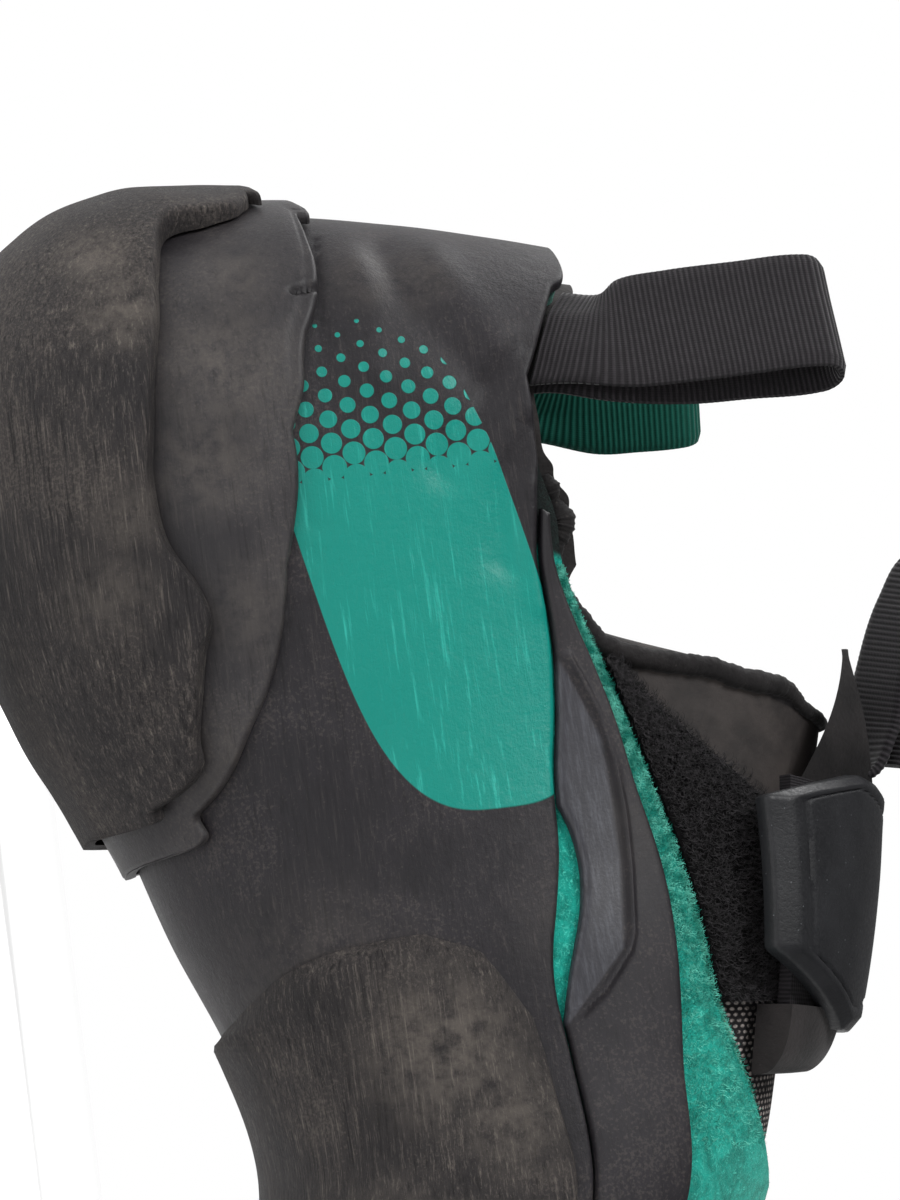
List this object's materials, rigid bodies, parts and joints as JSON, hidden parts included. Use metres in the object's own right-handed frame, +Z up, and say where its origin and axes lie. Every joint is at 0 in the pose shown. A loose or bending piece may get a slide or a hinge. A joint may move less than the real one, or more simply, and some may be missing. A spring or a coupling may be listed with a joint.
{
  "type": "climbing shoe",
  "caption": "Right climbing shoe: downturned suede upper with rubber rand, heel cup, outsole, knit tongue, strap closure and pull loops; stands empty on heel and forefoot.",
  "frame": {"origin": "middle of the flat spot under the heel, on the floor", "axes": "+Z up, +Y towards the toe, +X towards the outer side of this right shoe"},
  "size_m": [0.0883, 0.2325, 0.1143],
  "materials": {
    "suede": "teal suede with a napped face and raw cut edges",
    "board": "stiff fibre board",
    "rand_rubber": "black rubber, soft sheen",
    "sole_rubber": "sanded black rubber, dusty",
    "knit": "black knit with pale dots",
    "lining": "smooth dark grey lining",
    "pile": "black loop pile",
    "black_webbing": "ribbed black webbing",
    "teal_webbing": "ribbed teal webbing",
    "tab_rubber": "moulded dark grey rubber, matt"
  },
  "bodies": {
    "root": {"upper": "suede", "insole": "board", "rand": "rand_rubber", "heel_cup": "rand_rubber", "heel_sole": "sole_rubber", "outsole": "sole_rubber", "side_band_outer": "rand_rubber", "side_band_inner": "rand_rubber", "toe_patch": "rand_rubber", "tongue": "knit", "collar": "lining", "strap_base": "pile", "strap": "black_webbing", "strap_tab": "tab_rubber", "pull_loop_outer": "black_webbing", "pull_loop_inner": "teal_webbing", "tongue_loop": "black_webbing"}
  },
  "joints": []
}
